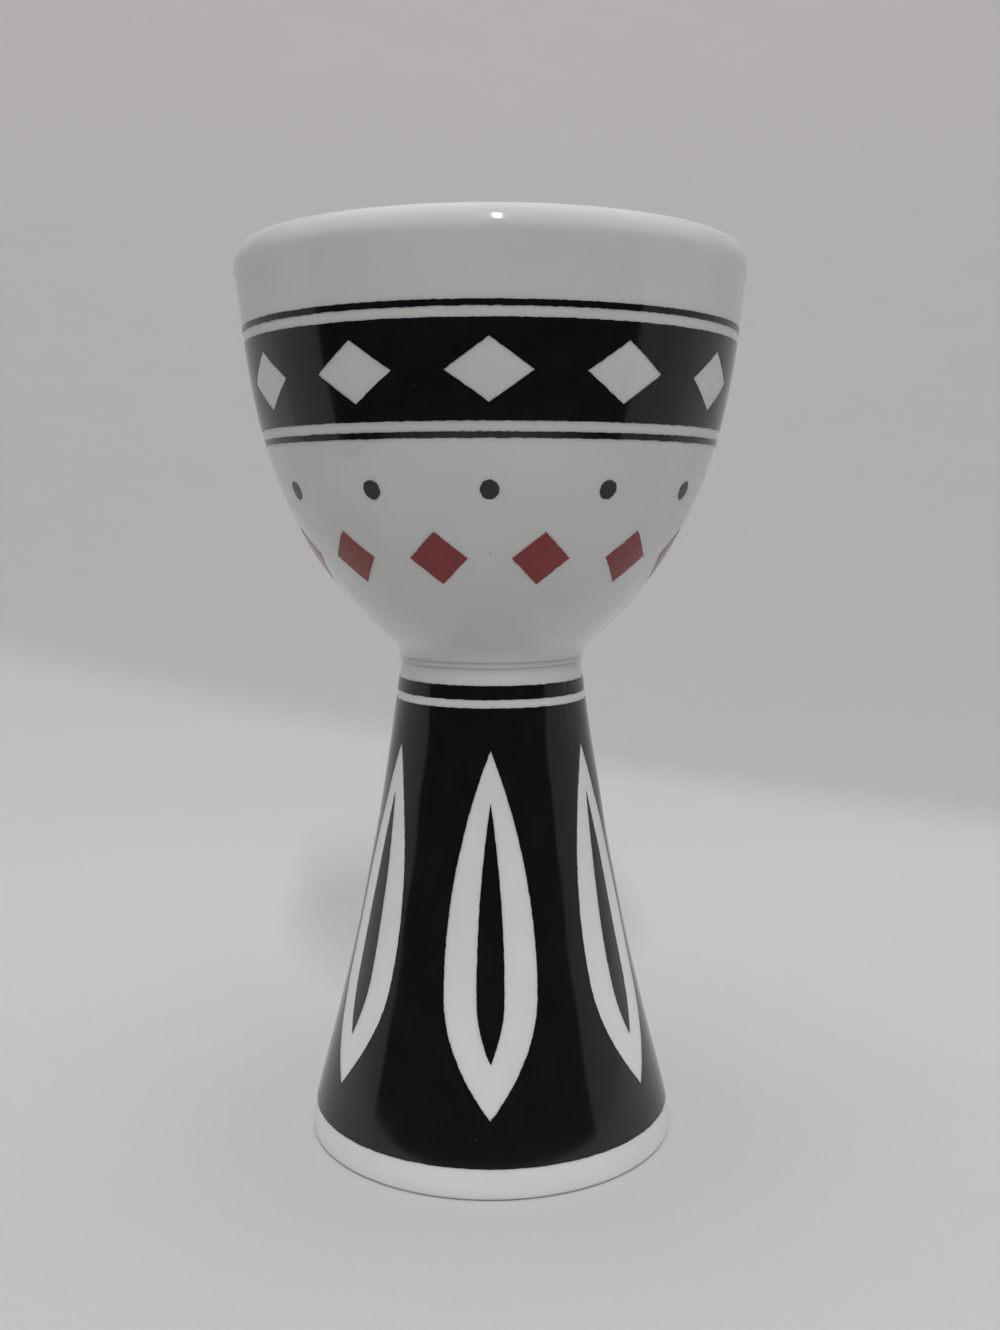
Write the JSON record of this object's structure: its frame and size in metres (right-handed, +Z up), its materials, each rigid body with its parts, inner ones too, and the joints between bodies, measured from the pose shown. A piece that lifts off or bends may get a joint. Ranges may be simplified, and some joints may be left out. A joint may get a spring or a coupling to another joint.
{
  "type": "egg cup",
  "caption": "Footed porcelain egg cup: deep round bowl on a narrow neck and a tall flared hollow foot, with a printed band, dots, lozenges and flutes.",
  "frame": {"origin": "centre of the foot's standing ring, on the surface that the cup stands on", "axes": "+Z up along the cup's axis; the front of the decoration faces -Y"},
  "size_m": [0.0564, 0.0564, 0.1],
  "materials": {
    "porcelain": "clear gloss glaze over white porcelain, bare on the standing ring",
    "black_print": "glossy black enamel transfer",
    "red_print": "glossy red enamel transfer"
  },
  "bodies": {
    "root": {"bowl": "porcelain", "neck_joint": "porcelain", "foot": "porcelain", "bowl_band": "black_print", "bowl_lines": "black_print", "bowl_dots": "black_print", "bowl_lozenges": "red_print", "foot_ground": "black_print", "foot_collar": "black_print", "foot_leaves": "black_print"}
  },
  "joints": []
}
